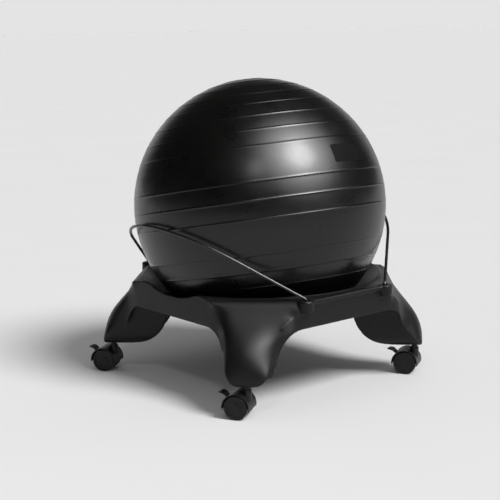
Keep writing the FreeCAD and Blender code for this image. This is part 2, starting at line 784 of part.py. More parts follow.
def make_lever():
    cheek_width = lever_cheek_outer - lever_cheek_inner
    pivot = from_axle(lever_pivot)
    pad = from_axle(pad_place)
    cheeks = []
    for side in (-1, 1):
        near = min(side * lever_cheek_inner, side * lever_cheek_outer)
        far = near + cheek_width
        hub = across(lever_hub_radius, near, far, pivot.x, pivot.z)
        arm = moved(solid_of(lever_outline(0), Vector(0, cheek_width, 0)), Vector(0, near, 0))
        along = (pad - pivot).normalize()
        beside = Vector(-along.z, 0, along.x) * pad_radius
        corners = [pivot + beside, pad + beside, pad - beside, pivot - beside]
        link = Part.makePolygon(corners + [corners[0]])
        link = moved(solid_of(link, Vector(0, cheek_width, 0)), Vector(0, near, 0))
        reach = (near, pad_outer) if side > 0 else (-pad_outer, far)
        stub = across(pad_radius, reach[0], reach[1], pad.x, pad.z)
        cheeks += [hub, arm, link, stub]
    bore = across(lever_pin_radius + lever_fit, -30, 30, pivot.x, pivot.z)
    return cheeks[0].multiFuse(cheeks[1:] + [make_pedal()]).cut(bore).removeSplitter()


def make_pedal():
    """The curved leaf that a foot presses, and its root that joins the two cheeks."""
    root = from_axle(pedal_root)
    mid = from_axle(pedal_mid)
    tip = from_axle(pedal_tip)
    drop = Vector(0, 0, -pedal_thickness)
    edges = [
        arc(root, mid, tip),
        line(tip, tip + drop * 0.5),
        arc(root + drop, mid + drop, tip + drop * 0.5),
        line(root, root + drop),
    ]
    leaf = slab_between(edges, pedal_half_width)
    length = root.x - tip.x
    plan = Part.makeCylinder(pedal_half_width, 60, Vector(tip.x + pedal_half_width, 0, axle_z))
    plan = plan.fuse(Part.makeBox(length, 2 * pedal_half_width, 60,
                                  Vector(tip.x + pedal_half_width, -pedal_half_width, axle_z)))
    return leaf.common(plan)


def make_lever_pin():
    pivot = from_axle(lever_pivot)
    return across(lever_pin_radius, -lever_cheek_outer, lever_cheek_outer, pivot.x, pivot.z)


def placed_caster(shape, corner):
    """Turns a caster piece to its heading and moves it under a leg."""
    name, sign_x, sign_y = corner
    place = stem_spread / math.sqrt(2)
    return moved(turned(shape, caster_heading_deg - 180), Vector(sign_x * place, sign_y * place, 0))


corners = [
    ("front_left", -1, -1),
    ("front_right", 1, -1),
    ("rear_left", -1, 1),
    ("rear_right", 1, 1),
]

os.makedirs("parts", exist_ok=True)
export("ball", make_ball())
export("valve_plug", make_valve_plug())
export("base_shell", make_base_shell())
export("hoop_left", make_hoop(True))
export("hoop_right", make_hoop(False))
caster_pieces = {
    "socket": make_socket(),
    "stem": make_stem(),
    "grip_ring": make_grip_ring(),
    "housing": make_housing(),
    "axle": make_axle(),
    "wheel_a": make_wheel(-1),
    "wheel_b": make_wheel(1),
    "brake_lever": make_lever(),
    "lever_pin": make_lever_pin(),
}
for corner in corners:
    for piece, shape in caster_pieces.items():
        export("%s_%s" % (piece, corner[0]), placed_caster(shape, corner))
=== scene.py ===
import math

import bmesh
import bpy
import numpy as np
from mathutils import Matrix, Vector
from mathutils.bvhtree import BVHTree


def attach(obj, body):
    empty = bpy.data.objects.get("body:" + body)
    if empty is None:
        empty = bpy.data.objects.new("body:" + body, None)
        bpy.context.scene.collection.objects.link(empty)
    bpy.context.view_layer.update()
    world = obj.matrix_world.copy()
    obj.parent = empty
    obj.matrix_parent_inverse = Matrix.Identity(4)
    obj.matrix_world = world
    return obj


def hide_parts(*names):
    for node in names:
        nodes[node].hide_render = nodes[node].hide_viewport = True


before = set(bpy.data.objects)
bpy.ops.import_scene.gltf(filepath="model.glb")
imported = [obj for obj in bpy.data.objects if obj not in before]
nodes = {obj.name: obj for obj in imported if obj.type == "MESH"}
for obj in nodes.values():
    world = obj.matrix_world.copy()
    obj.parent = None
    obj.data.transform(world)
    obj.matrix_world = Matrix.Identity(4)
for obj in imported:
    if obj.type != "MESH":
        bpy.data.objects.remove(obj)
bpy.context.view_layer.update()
MM = 0.001
WELD = 0.00001                       # points nearer than this become one

# ---------------------------------------------------------------- sizes of the ball
BALL_CENTRE = Vector((0, 0, 0.357))
BALL_RADIUS = 0.260
RING_LEAN = math.radians(10.9)       # the moulded rings lean away from upright
RING_HEADING = math.radians(87.2)
RING_PITCH = math.radians(7.85)      # from one ring to the next
RING_SHIFT = math.radians(2.1)       # the middle ring lies this far above the ball's own middle
SMOOTH_BAND = 2                      # the second ring on each side of the middle one is left out
RING_HEIGHT = 0.6 * MM
RING_WIDTH = 0.9 * MM
RINGS_EACH_SIDE = 11
ROWS_PER_RING = 14
SEGMENTS = 192
ROW_CROWDING = 2.6                   # 1 would space the rows evenly
LOWEST_ROW = math.radians(-86.8)     # where the valve's seat begins

SEAT_EDGE = 0.99978                  # the seat's mouth lies at this share of the ball's radius
SEAT_MOUTH = 11.9 * MM               # radius there
SEAT_LIP = 0.6 * MM                  # depth of its rounded lip
SEAT_RADIUS = 11.3 * MM
SEAT_DEPTH = 2.7 * MM
BORE_RADIUS = 4.6 * MM
BORE_DEPTH = 19 * MM

LABEL_MIDDLE = Vector((0.1289, -0.8686, 0.4784))    # the way there from the ball's centre
LABEL_WIDTH = 75 * MM
LABEL_HEIGHT = 37 * MM
LABEL_TURN = math.radians(-1.5)
LABEL_CORNER = 2.5 * MM
LABEL_LIFTS = (0.15 * MM, 0.45 * MM)    # its inner and its outer face, above the ball's radius
LABEL_COLUMNS = 30
LABEL_ROWS = 15


# ---------------------------------------------------------------- helpers
def linear(code):
    """A hex colour as it is written on a screen, as the linear values that shaders take."""
    parts = [int(code[i:i + 2], 16) / 255 for i in (1, 3, 5)]
    parts = [p / 12.92 if p <= 0.04045 else ((p + 0.055) / 1.055) ** 2.4 for p in parts]
    return tuple(parts) + (1.0,)


def add(tree, kind, links=None, **settings):
    """Adds a node: its inputs by name or number, as values or as sockets, and its settings."""
    made = tree.nodes.new(kind)
    for name, value in settings.items():
        setattr(made, name, value)
    for key, value in (links or {}).items():
        socket = made.inputs[key]
        if isinstance(value, bpy.types.NodeSocket):
            tree.links.new(value, socket)
        else:
            socket.default_value = value
    return made


def shader_tree(name):
    material = bpy.data.materials.new(name)
    material.use_nodes = True
    material.node_tree.nodes.clear()
    return material, material.node_tree


def smooth(obj, degrees=None):
    """Smooth shading, with edges above the angle kept sharp."""
    for face in obj.data.polygons:
        face.use_smooth = True
    if degrees is not None:
        obj.data.set_sharp_from_angle(angle=math.radians(degrees))


def dress(obj, material):
    obj.data.materials.clear()
    obj.data.materials.append(material)


def new_object(name, mesh):
    obj = bpy.data.objects.new(name, mesh)
    bpy.context.scene.collection.objects.link(obj)
    return obj


def merged_copy(name, node):
    """A copy of a CAD node's mesh whose loose triangles are joined."""
    loose_gap = 2e-6
    mesh = nodes[node].data.copy()
    mesh.name = name
    work = bmesh.new()
    work.from_mesh(mesh)
    bmesh.ops.remove_doubles(work, verts=work.verts, dist=loose_gap)
    work.to_mesh(mesh)
    work.free()
    if mesh.has_custom_normals:
        mesh.attributes.remove(mesh.attributes["custom_normal"])
    return new_object(name, mesh)


def bake(obj):
    """Turns the object's modifiers into its mesh."""
    graph = bpy.context.evaluated_depsgraph_get()
    mesh = bpy.data.meshes.new_from_object(obj.evaluated_get(graph))
    obj.modifiers.clear()
    old = obj.data
    obj.data = mesh
    mesh.name = obj.name
    bpy.data.meshes.remove(old)


# ---------------------------------------------------------------- camera
def make_camera():
    """A long lens that looks down a little on the chair from its front left."""
    turn = math.radians(-39.12)
    tilt = math.radians(10.89)
    roll = math.radians(-1.092)
    distance = 2.731
    aim_aside = -0.0223
    aim_height = 0.2613
    focal_pixels = 1308
    frame_pixels = 500
    sensor = 36
    side = Vector((math.cos(turn), math.sin(turn), 0))
    away = Vector((-math.sin(turn), math.cos(turn), 0))
    target = side * aim_aside + Vector((0, 0, aim_height))
    back = -away * math.cos(tilt) + Vector((0, 0, math.sin(tilt)))
    right = (-back).cross(Vector((0, 0, 1))).normalized()
    up = right.cross(-back)
    x_axis = right * math.cos(roll) + up * math.sin(roll)
    y_axis = up * math.cos(roll) - right * math.sin(roll)
    data = bpy.data.cameras.new("camera")
    data.sensor_width = sensor
    data.lens = focal_pixels * sensor / frame_pixels
    data.clip_end = 60
    camera = new_object("camera", data)
    place = target + back * distance
    camera.matrix_world = Matrix((
        (x_axis.x, y_axis.x, back.x, place.x),
        (x_axis.y, y_axis.y, back.y, place.y),
        (x_axis.z, y_axis.z, back.z, place.z),
        (0, 0, 0, 1),
    ))
    bpy.context.scene.camera = camera


make_camera()


# ---------------------------------------------------------------- finishes
# The numbers of a Mix node's colour sockets: its two inputs and its output
COLOUR_A, COLOUR_B, MIXED = 6, 7, 2


def soft_pvc():
    """Moulded soft PVC: a satin skin with a fine grain, stretched thin along the meridians."""
    material, tree = shader_tree("moulded_soft_pvc")
    place = add(tree, "ShaderNodeTexCoord")
    uv = add(tree, "ShaderNodeUVMap", uv_map="rings")
    # Cloudy wipe marks, some 60 mm across
    clouds = add(tree, "ShaderNodeTexNoise",
                 {"Vector": place.outputs["Object"], "Scale": 16.0, "Detail": 4.0,
                  "Roughness": 0.6})
    colour = add(tree, "ShaderNodeMix",
                 {"Factor": clouds.outputs["Fac"],
                  COLOUR_A: linear("#040404"), COLOUR_B: linear("#0a0a09")}, data_type="RGBA")
    # Stretch lines along the meridians, 1 to 3 mm apart
    stretched = add(tree, "ShaderNodeMapping",
                    {"Vector": uv.outputs["UV"], "Scale": (620.0, 5.0, 1.0)})
    lines = add(tree, "ShaderNodeTexNoise",
                {"Vector": stretched.outputs[0], "Scale": 1.0, "Detail": 3.0},
                noise_dimensions="2D")
    # Grain of the mould, 0.4 mm, drawn at 1.4 mm so that it shows
    grain = add(tree, "ShaderNodeTexNoise",
                {"Vector": place.outputs["Object"], "Scale": 700.0, "Detail": 2.0})
    gloss = add(tree, "ShaderNodeMapRange",
                {"Value": clouds.outputs["Fac"], "From Min": 0.3, "From Max": 0.7,
                 "To Min": 0.25, "To Max": 0.33})
    pits = add(tree, "ShaderNodeBump",
               {"Height": grain.outputs["Fac"], "Strength": 0.10, "Distance": 0.25 * MM})
    bump = add(tree, "ShaderNodeBump",
               {"Height": lines.outputs["Fac"], "Strength": 0.22, "Distance": 0.3 * MM,
                "Normal": pits.outputs[0]})
    skin = add(tree, "ShaderNodeBsdfPrincipled",
               {"Base Color": colour.outputs[MIXED], "Roughness": gloss.outputs[0],
                "IOR": 1.53, "Specular IOR Level": 0.38, "Normal": bump.outputs[0]})
    add(tree, "ShaderNodeOutputMaterial", {"Surface": skin.outputs[0]})
    return material


def moulded_plastic(name, dark, pale, gloss, grain, depth, scuffs, level=0.5):
    """Injection-moulded thermoplastic with a spark-eroded grain and faint rubbing marks.

    gloss: roughness of the clean and of the rubbed places; grain and depth: of the texture;
    scuffs: strength of the rubbing marks; level: specular level.
    """
    material, tree = shader_tree(name)
    place = add(tree, "ShaderNodeTexCoord")
    # Uneven tone, some 45 mm across
    clouds = add(tree, "ShaderNodeTexNoise",
                 {"Vector": place.outputs["Object"], "Scale": 22.0, "Detail": 3.0})
    texture = add(tree, "ShaderNodeTexNoise",
                  {"Vector": place.outputs["Object"], "Scale": 1 / grain, "Detail": 3.0,
                   "Roughness": 0.65})
    # Rubbing marks, 30 mm long and 3 mm apart: noise drawn out sideways, only its thin peaks
    drawn = add(tree, "ShaderNodeMapping",
                {"Vector": place.outputs["Object"], "Scale": (30.0, 30.0, 320.0),
                 "Rotation": (0.4, 0.3, 0.0)})
    marks = add(tree, "ShaderNodeTexNoise",
                {"Vector": drawn.outputs[0], "Scale": 1.0, "Detail": 5.0})
    peaks = add(tree, "ShaderNodeMapRange",
                {"Value": marks.outputs["Fac"], "From Min": 0.62, "From Max": 0.8,
                 "To Min": 0.0, "To Max": scuffs})
    tone = add(tree, "ShaderNodeMath", {0: clouds.outputs["Fac"], 1: peaks.outputs[0]},
               operation="ADD", use_clamp=True)
    colour = add(tree, "ShaderNodeMix",
                 {"Factor": tone.outputs[0], COLOUR_A: linear(dark), COLOUR_B: linear(pale)},
                 data_type="RGBA")
    roughness = add(tree, "ShaderNodeMapRange",
                    {"Value": tone.outputs[0], "From Min": 0.25, "From Max": 0.85,
                     "To Min": gloss[0], "To Max": gloss[1]})
    bump = add(tree, "ShaderNodeBump",
               {"Height": texture.outputs["Fac"], "Strength": 0.35, "Distance": depth})
    body = add(tree, "ShaderNodeBsdfPrincipled",
               {"Base Color": colour.outputs[MIXED], "Roughness": roughness.outputs[0],
                "IOR": 1.49, "Specular IOR Level": level, "Normal": bump.outputs[0]})
    add(tree, "ShaderNodeOutputMaterial", {"Surface": body.outputs[0]})
    return material


def plated_steel(name, dark, pale):
    """Plated steel, or steel whose colour is darkened with painted shade: metal with a faint
    crystal mottling.
    """
    material, tree = shader_tree(name)
    place = add(tree, "ShaderNodeTexCoord")
    # Crystals of 0.1 mm, drawn at 2 mm so that they show
    mottle = add(tree, "ShaderNodeTexNoise",
                 {"Vector": place.outputs["Object"], "Scale": 450.0, "Detail": 3.0})
    colour = add(tree, "ShaderNodeMix",
                 {"Factor": mottle.outputs["Fac"], COLOUR_A: linear(dark),
                  COLOUR_B: linear(pale)}, data_type="RGBA")
    roughness = add(tree, "ShaderNodeMapRange",
                    {"Value": mottle.outputs["Fac"], "To Min": 0.25, "To Max": 0.42})
    body = add(tree, "ShaderNodeBsdfPrincipled",
               {"Base Color": colour.outputs[MIXED], "Roughness": roughness.outputs[0],
                "Metallic": 1.0})
    add(tree, "ShaderNodeOutputMaterial", {"Surface": body.outputs[0]})
    return material


def printed_film():
    """Heat-transfer film: dead black, finely woven, duller than the ball."""
    material, tree = shader_tree("heat_transfer_film")
    uv = add(tree, "ShaderNodeUVMap", uv_map="film")
    # Thread pitch 0.5 mm, drawn at 1 mm so that it shows
    counts = add(tree, "ShaderNodeMapping",
                 {"Vector": uv.outputs["UV"], "Scale": (75.0, 37.0, 1.0)})
    weave = add(tree, "ShaderNodeTexChecker", {"Vector": counts.outputs[0], "Scale": 1.0})
    bump = add(tree, "ShaderNodeBump",
               {"Height": weave.outputs["Fac"], "Strength": 0.3, "Distance": 0.1 * MM})
    # Dust in patches of 4 to 8 mm
    dust = add(tree, "ShaderNodeTexNoise",
               {"Vector": uv.outputs["UV"], "Scale": 9.0, "Detail": 4.0},
               noise_dimensions="2D")
    colour = add(tree, "ShaderNodeMix",
                 {"Factor": dust.outputs["Fac"],
                  COLOUR_A: linear("#050505"), COLOUR_B: linear("#0e0e0e")}, data_type="RGBA")
    roughness = add(tree, "ShaderNodeMapRange",
                    {"Value": dust.outputs["Fac"], "To Min": 0.5, "To Max": 0.68})
    body = add(tree, "ShaderNodeBsdfPrincipled",
               {"Base Color": colour.outputs[MIXED], "Roughness": roughness.outputs[0],
                "IOR": 1.45, "Specular IOR Level": 0.08, "Normal": bump.outputs[0]})
    add(tree, "ShaderNodeOutputMaterial", {"Surface": body.outputs[0]})
    return material


pvc = soft_pvc()
# The grain of these moulds is 0.2 to 0.4 mm wide and is drawn at 0.9 to 1.3 mm so that it
# shows. The vinyl has none: its 3 mm waves come from the dipping.
# Satin black, with broad and soft highlights
polypropylene = moulded_plastic(
    "moulded_polypropylene", "#070708", "#121213",
    gloss=(0.36, 0.48), grain=1.3 * MM, depth=0.10 * MM, scuffs=0.35, level=0.26)
# Glossier and almost smooth
wire_coating = moulded_plastic(
    "dipped_vinyl_coating", "#0a0a0b", "#161617",
    gloss=(0.24, 0.34), grain=3.0 * MM, depth=0.08 * MM, scuffs=0.2)
# Satin, with a fine and sharp grain
hood_nylon = moulded_plastic(
    "glass_filled_nylon", "#080809", "#131314",
    gloss=(0.34, 0.5), grain=0.9 * MM, depth=0.08 * MM, scuffs=0.3, level=0.34)
# Duller, scuffed by the floor
wheel_nylon = moulded_plastic(
    "moulded_nylon", "#0a0a0b", "#151517",
    gloss=(0.36, 0.52), grain=1.0 * MM, depth=0.08 * MM, scuffs=0.6, level=0.3)
# Matt and waxy
cap_plastic = moulded_plastic(
    "matt_polyethylene", "#0b0b0c", "#151516",
    gloss=(0.45, 0.6), grain=1.2 * MM, depth=0.08 * MM, scuffs=0.2)
zinc = plated_steel("zinc_plated_steel", "#8f9296", "#b4b7ba")
# The stems: plated steel whose colour is painted dark to stand for the shade they lie in, not a
# black finish
steel_darkened_for_shade = plated_steel("steel_painted_with_shade", "#26272a", "#3a3b3e")
film = printed_film()


# ---------------------------------------------------------------- ball
def ring_axes():
    """The rings' own axes: z along their axis."""
    z_axis = Vector((
        math.sin(RING_LEAN) * math.cos(RING_HEADING),
        math.sin(RING_LEAN) * math.sin(RING_HEADING),
        math.cos(RING_LEAN),
    ))
    x_axis = z_axis.cross(Vector((0, 1, 0))).normalized()
    y_axis = z_axis.cross(x_axis)
    return Matrix((x_axis, y_axis, z_axis)).transposed()


def ball_tree(material):
    """A grid wrapped into a ball whose radius swells at each moulded ring."""
    tree = bpy.data.node_groups.new("ringed_ball", "GeometryNodeTree")
    face = tree.interface
    face.new_socket("Geometry", in_out="OUTPUT", socket_type="NodeSocketGeometry")
    sizes = [
        ("Radius", "NodeSocketFloat", BALL_RADIUS),
        ("Pitch", "NodeSocketFloat", RING_PITCH),
        ("Shift", "NodeSocketFloat", RING_SHIFT),
        ("Height", "NodeSocketFloat", RING_HEIGHT),
        ("Width", "NodeSocketFloat", RING_WIDTH),
        ("Left out", "NodeSocketFloat", float(SMOOTH_BAND)),
        ("Rows per ring", "NodeSocketInt", ROWS_PER_RING),
        ("Rings each side", "NodeSocketInt", RINGS_EACH_SIDE),
        ("Segments", "NodeSocketInt", SEGMENTS),
        ("Lowest", "NodeSocketFloat", LOWEST_ROW),
    ]
    for name, kind, value in sizes:
        face.new_socket(name, in_out="INPUT", socket_type=kind).default_value = value
    given = add(tree, "NodeGroupInput").outputs
    position = add(tree, "GeometryNodeInputPosition")
    where = add(tree, "ShaderNodeSeparateXYZ", {0: position.outputs[0]})
    found = {name: given[name] for name, _, _ in sizes}
    found.update({"x": where.outputs[0], "y": where.outputs[1]})

    # Each step: its name, what it does, and the numbers or names that it does it with
    steps = [
        ("ring count", "MULTIPLY_ADD", "Rings each side", 2.0, 1.0),
        ("rows", "MULTIPLY", "ring count", "Rows per ring"),
        ("row lines", "ADD", "rows", 1.0),
        ("column lines", "ADD", "Segments", 1.0),
        ("across", "ADD", "x", 0.5),
        ("along", "ADD", "y", 0.5),
        # A band of rows for each ring, numbered from the middle ring
        ("band", "MULTIPLY", "along", "ring count"),
        ("last band", "SUBTRACT", "ring count", 0.0001),
        ("band here", "MINIMUM", "band", "last band"),
        ("which", "FLOOR", "band here"),
        ("number", "SUBTRACT", "which", "Rings each side"),
        # From -1 to 1 over a band, and crowded at the ring, where the skin bends most
        ("part", "SUBTRACT", "band", "which"),
        ("even", "MULTIPLY_ADD", "part", 2.0, -1.0),
        ("side", "SIGN", "even"),
        ("even size", "ABSOLUTE", "even"),
        ("drawn in", "POWER", "even size", ROW_CROWDING),
        ("crowded", "MULTIPLY", "side", "drawn in"),
        # The latitude of the row
        ("pitches", "MULTIPLY_ADD", "crowded", 0.5, "number"),
        ("free latitude", "MULTIPLY_ADD", "pitches", "Pitch", "Shift"),
        ("below pole", "MINIMUM", "free latitude", math.pi / 2),
        ("latitude", "MAXIMUM", "below pole", "Lowest"),
        # A bell curve across the ring, but none on the smooth bands
        ("half", "MULTIPLY", "crowded", 0.5),
        ("spacing", "MULTIPLY", "Pitch", "Radius"),
        ("offset", "MULTIPLY", "half", "spacing"),
        ("distance", "ABSOLUTE", "offset"),
        ("widths", "DIVIDE", "distance", "Width"),
        ("squared", "POWER", "widths", 2.0),
        ("falling", "MULTIPLY", "squared", -1.0),
        ("bell", "EXPONENT", "falling"),
        ("swell", "MULTIPLY", "bell", "Height"),
        ("rank", "ABSOLUTE", "number"),
        ("smooth band", "COMPARE", "rank", "Left out", 0.5),
        ("ringed", "SUBTRACT", 1.0, "smooth band"),
        ("radius", "MULTIPLY_ADD", "swell", "ringed", "Radius"),
        # The point on the ball
        ("turn", "MULTIPLY", "across", 2 * math.pi),
        ("level", "COSINE", "latitude"),
        ("ring radius", "MULTIPLY", "level", "radius"),
        ("turn cosine", "COSINE", "turn"),
        ("turn sine", "SINE", "turn"),
        ("rise", "SINE", "latitude"),
        ("ball x", "MULTIPLY", "ring radius", "turn cosine"),
        ("ball y", "MULTIPLY", "ring radius", "turn sine"),
        ("ball z", "MULTIPLY", "rise", "radius"),
    ]
    for name, operation, *terms in steps:
        terms = {i: found[t] if isinstance(t, str) else t for i, t in enumerate(terms)}
        found[name] = add(tree, "ShaderNodeMath", terms, operation=operation).outputs[0]

    grid = add(tree, "GeometryNodeMeshGrid",
               {"Size X": 1.0, "Size Y": 1.0, "Vertices X": found["column lines"],
                "Vertices Y": found["row lines"]})
    uv = add(tree, "ShaderNodeCombineXYZ", {0: found["across"], 1: found["along"]})
    stored = add(tree, "GeometryNodeStoreNamedAttribute",
                 {"Geometry": grid.outputs[0], "Name": "rings", "Value": uv.outputs[0]},
                 data_type="FLOAT2", domain="CORNER")
    place = add(tree, "ShaderNodeCombineXYZ",
                {0: found["ball x"], 1: found["ball y"], 2: found["ball z"]})
    wrapped = add(tree, "GeometryNodeSetPosition",
                  {"Geometry": stored.outputs[0], "Position": place.outputs[0]})
    closed = add(tree, "GeometryNodeMergeByDistance",
                 {"Geometry": wrapped.outputs[0], "Distance": WELD})
    real = add(tree, "GeometryNodeRealizeInstances", {"Geometry": closed.outputs[0]})
    dressed = add(tree, "GeometryNodeSetMaterial",
                  {"Geometry": real.outputs[0], "Material": material})
    add(tree, "NodeGroupOutput", {"Geometry": dressed.outputs[0]})
    return tree


def make_ball():
    """The ringed skin, with the valve's seat and bore at the rings' lower pole."""
    ball = new_object("ball_skin", bpy.data.meshes.new("ball_skin"))
    ball.modifiers.new("rings", "NODES").node_group = ball_tree(pvc)
    bake(ball)
    work = bmesh.new()
    work.from_mesh(ball.data)
    rim = [e for e in work.edges if e.is_boundary]
    floor_level = BALL_RADIUS - SEAT_DEPTH
    end_level = floor_level - BORE_DEPTH
    steps = [
        (SEAT_MOUTH, BALL_RADIUS * SEAT_EDGE),
        (SEAT_RADIUS, BALL_RADIUS - SEAT_LIP),
        (SEAT_RADIUS, floor_level),
        (BORE_RADIUS, floor_level),
        (BORE_RADIUS, end_level),
        (0, end_level),
    ]
    for radius, level in steps:
        made = bmesh.ops.extrude_edge_only(work, edges=rim)["geom"]
        points = [g for g in made if isinstance(g, bmesh.types.BMVert)]
        rim = [g for g in made if isinstance(g, bmesh.types.BMEdge)]
        # The lip follows the ball; the floor and the end of the bore are flat
        drop = math.sqrt(level ** 2 - radius ** 2) if level > floor_level else level
        for p in points:
            flat = Vector((p.co.x, p.co.y, 0)).normalized() * radius
            p.co = Vector((flat.x, flat.y, -drop))
    bmesh.ops.remove_doubles(work, verts=work.verts, dist=WELD)
    bmesh.ops.recalc_face_normals(work, faces=work.faces)
    work.transform(Matrix.Translation(BALL_CENTRE) @ ring_axes().to_4x4())
    work.to_mesh(ball.data)
    work.free()
    smooth(ball, 50)
    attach(ball, "ball")
    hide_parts("ball")


def make_label():
    """A blank black patch with round corners that follows the ball."""
    axis = ring_axes().col[2]
    middle = LABEL_MIDDLE.normalized() * BALL_RADIUS
    east = axis.cross(LABEL_MIDDLE).normalized()
    north = LABEL_MIDDLE.cross(east).normalized()
    across = east * math.cos(LABEL_TURN) + north * math.sin(LABEL_TURN)
    upward = north * math.cos(LABEL_TURN) - east * math.sin(LABEL_TURN)
    work = bmesh.new()
    uv = work.loops.layers.uv.new("film")
    faces = []
    for lift in LABEL_LIFTS:
        grid = []
        for j in range(LABEL_ROWS + 1):
            row = []
            for i in range(LABEL_COLUMNS + 1):
                x = (i / LABEL_COLUMNS - 0.5) * LABEL_WIDTH
                y = (j / LABEL_ROWS - 0.5) * LABEL_HEIGHT
                over_x = abs(x) - (LABEL_WIDTH / 2 - LABEL_CORNER)
                over_y = abs(y) - (LABEL_HEIGHT / 2 - LABEL_CORNER)
                over = math.hypot(over_x, over_y)
                if over_x > 0 and over_y > 0 and over > LABEL_CORNER:
                    shrink = LABEL_CORNER / over
                    x -= math.copysign(over_x * (1 - shrink), x)
                    y -= math.copysign(over_y * (1 - shrink), y)
                way = (middle + across * x + upward * y).normalized()
                row.append(work.verts.new(BALL_CENTRE + way * (BALL_RADIUS + lift)))
            grid.append(row)
        faces.append(grid)
    for grid in faces:
        for j in range(LABEL_ROWS):
            for i in range(LABEL_COLUMNS):
                spots = [(i, j), (i + 1, j), (i + 1, j + 1), (i, j + 1)]
                made = work.faces.new([grid[b][a] for a, b in spots])
                for loop, (a, b) in zip(made.loops, spots):
                    loop[uv].uv = (a / LABEL_COLUMNS, b / LABEL_ROWS)
    outline = [(i, 0) for i in range(LABEL_COLUMNS)]
    outline += [(LABEL_COLUMNS, j) for j in range(LABEL_ROWS)]
    outline += [(i, LABEL_ROWS) for i in range(LABEL_COLUMNS, 0, -1)]
    outline += [(0, j) for j in range(LABEL_ROWS, 0, -1)]
    inner, outer = faces
    for (i, j), (k, m) in zip(outline, outline[1:] + outline[:1]):
        work.faces.new([inner[j][i], inner[m][k], outer[m][k], outer[j][i]])
    bmesh.ops.recalc_face_normals(work, faces=work.faces)
    mesh = bpy.data.meshes.new("blank_label")
    work.to_mesh(mesh)
    work.free()
    label = new_object("blank_label", mesh)
    smooth(label, 40)
    dress(label, film)
    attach(label, "ball")


# ---------------------------------------------------------------- base
VOXEL = 2.1 * MM
BASE_TRIANGLES = 185000
EDGE_ROUNDS = 4                      # rounds of softening for every edge
LEG_ROUNDS = 220                     # and for the legs and their creases with the panels

BEAD_RADIUS = 0.246                  # the bead round the mouth keeps its form better
BEAD_HALF_WIDTH = 0.006
BEAD_FOOT = 0.207
BEAD_SOFTNESS = 0.3

FRONT_FLARE = (52 * MM, 145 * MM)    # radius of a leg's flare into a panel, height of its centre
SIDE_FLARE = (45 * MM, 167.5 * MM)
FRONT_PANEL = 259.5 * MM             # from the middle to the outer face of a panel
SIDE_PANEL = 233.5 * MM
# How far a leg's front reaches out from the middle, and half its width, each over its height
LEG_FRONT = ([0.0625, 0.070, 0.084, 0.095, 0.1145, 0.136, 0.143, 0.186, 0.201, 0.210],
             [0.3330, 0.3355, 0.3355, 0.334, 0.329, 0.317, 0.3115, 0.2715, 0.2655, 0.257])
LEG_TOE = ([0.0625, 0.0650, 0.070, 0.0784, 0.0965, 0.145],
           [0.010, 0.023, 0.031, 0.038, 0.044, 0.052])

# The instep: the curve of a leg's open edge behind its toe
INSTEP_RADIUS = 0.080
INSTEP_REACH = 0.272
INSTEP_HEIGHT = 0.1455
LEG_BACK = 0.192
CLEAR = 0.030                        # far from any edge

# The arch under a panel: a level top, round corners and leaning sides
FRONT_ARCH = 71 * MM                 # radius of its corners
SIDE_ARCH = 50 * MM
ARCH_TOP = 0.1575
ARCH_FLAT = 0.111                    # half the width of the level top
ARCH_LEAN = math.radians(26)

# The crown: how far a leg's front falls back at its sides, and where the crown fades
LEG_CROWN = 20 * MM
TOE_CROWN = 0.05                     # the share of it that is left at the toe
CROWN_DEPTH = (0.055, 0.012)         # behind the leg's front
CROWN_TOE = (0.070, 0.125)           # heights
CROWN_HEAD = (0.120, 0.185)
CROWN_SIDE = (0.0, 0.045)            # beside the leg

# The skins that are softened
SKIN = 9 * MM
FRONT_OVERLAP = 0.005                # of a leg's front over its sides
SIDE_DEPTH = 0.022
PANEL_DEPTH = 0.007
PANEL_START = 0.004                  # beside the leg

# Where the softening sets in (from, to) or ends
INSTEP_EDGE = (0.003, 0.026)         # from the open edge
ARCH_EDGE = (0.004, 0.018)           # from the arch
PANEL_RUN = (0.025, 0.060)           # beside the leg
BOSS_HEIGHTS = (0.172, 0.182)
BOSS_ALONG = (0.124, 0.140)          # from the middle of the panel
INNER_REACH = (0.205, 0.225)         # from the middle of the chair
TOE_HEIGHTS = (0.068, 0.125)
RIM_HEIGHTS = (0.195, 0.206)


def diffuse(points, edges, weight, rounds):
    """Rounds off edges: each point moves towards the mean of its neighbours, by its weight."""
    step = 0.5
    a, b = edges[:, 0], edges[:, 1]
    count = len(points)
    degree = np.bincount(a, minlength=count) + np.bincount(b, minlength=count)
    degree = np.maximum(degree, 1)[:, None]
    pull = (step * weight)[:, None]
    for _ in range(rounds):
        total = np.empty_like(points)
        for k in range(3):
            total[:, k] = (np.bincount(a, weights=points[b, k], minlength=count)
                           + np.bincount(b, weights=points[a, k], minlength=count))
        points = points + pull * (total / degree - points)
    return points


def ramp(values, low, high):
    """A soft step from 0 at low to 1 at high."""
    share = np.clip((values - low) / (high - low), 0, 1)
    return share * share * (3 - 2 * share)


class LegFrame:
    """Where points lie on the leg that they belong to."""
    def __init__(self, points):
        x = np.abs(points[:, 0])
        y = np.abs(points[:, 1])
        self.z = points[:, 2]
        self.reach = (x + y) / math.sqrt(2)
        self.beside = np.abs(y - x) / math.sqrt(2)
        self.to_front = y > x
        radius, height = np.where(self.to_front[:, None], FRONT_FLARE, SIDE_FLARE).T
        above = np.clip(self.z - height, 0, radius)
        self.width = np.interp(self.z, *LEG_TOE) + radius - np.sqrt(radius ** 2 - above ** 2)
        self.front = np.interp(self.z, *LEG_FRONT)
        self.out = np.where(self.to_front, y - FRONT_PANEL, x - SIDE_PANEL)
        self.along = np.where(self.to_front, x, y)


